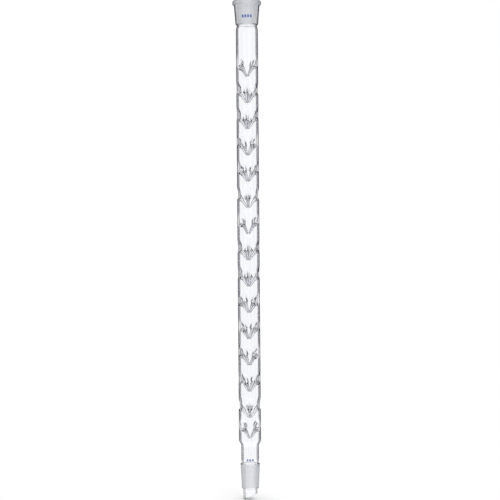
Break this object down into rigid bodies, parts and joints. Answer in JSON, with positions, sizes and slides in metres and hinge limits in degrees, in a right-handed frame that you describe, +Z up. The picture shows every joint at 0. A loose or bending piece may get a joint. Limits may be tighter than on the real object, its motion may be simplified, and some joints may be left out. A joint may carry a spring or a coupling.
{
  "type": "vigreux distilling column",
  "caption": "Upright glass fractionating column with tiers of hollow inward fingers, a ground socket on top and a ground cone with a slant drip tip below.",
  "frame": {"origin": "on the column's axis, at the wide end of the lower ground cone, level with the mouth of the flask's socket that it seats in", "axes": "+Z up along the column's axis to its socket; -X is the long side of the slant-cut drip tip, and the printed marks face -Y"},
  "size_m": [0.036, 0.036, 0.622],
  "materials": {
    "clear_glass": "clear, fire-polished borosilicate glass",
    "ground_glass": "fine ground, frosted borosilicate glass",
    "enamel": "fired blue enamel"
  },
  "bodies": {
    "root": {"socket_rim": "ground_glass", "ground_socket": "ground_glass", "socket_weld": "clear_glass", "upper_tube": "clear_glass", "tube_tier_01": "clear_glass", "tube_tier_02": "clear_glass", "tube_tier_03": "clear_glass", "tube_tier_04": "clear_glass", "tube_tier_05": "clear_glass", "tube_tier_06": "clear_glass", "tube_tier_07": "clear_glass", "tube_tier_08": "clear_glass", "tube_tier_09": "clear_glass", "tube_tier_10": "clear_glass", "tube_tier_11": "clear_glass", "tube_tier_12": "clear_glass", "tube_tier_13": "clear_glass", "tube_tier_14": "clear_glass", "tube_tier_15": "clear_glass", "fingers_tier_01": "clear_glass", "fingers_tier_02": "clear_glass", "fingers_tier_03": "clear_glass", "fingers_tier_04": "clear_glass", "fingers_tier_05": "clear_glass", "fingers_tier_06": "clear_glass", "fingers_tier_07": "clear_glass", "fingers_tier_08": "clear_glass", "fingers_tier_09": "clear_glass", "fingers_tier_10": "clear_glass", "fingers_tier_11": "clear_glass", "fingers_tier_12": "clear_glass", "fingers_tier_13": "clear_glass", "fingers_tier_14": "clear_glass", "fingers_tier_15": "clear_glass", "lower_tube": "clear_glass", "lower_shoulder": "clear_glass", "lower_neck": "clear_glass", "ground_cone": "ground_glass", "drip_tip": "clear_glass", "socket_mark": "enamel", "neck_mark": "enamel"}
  },
  "joints": []
}
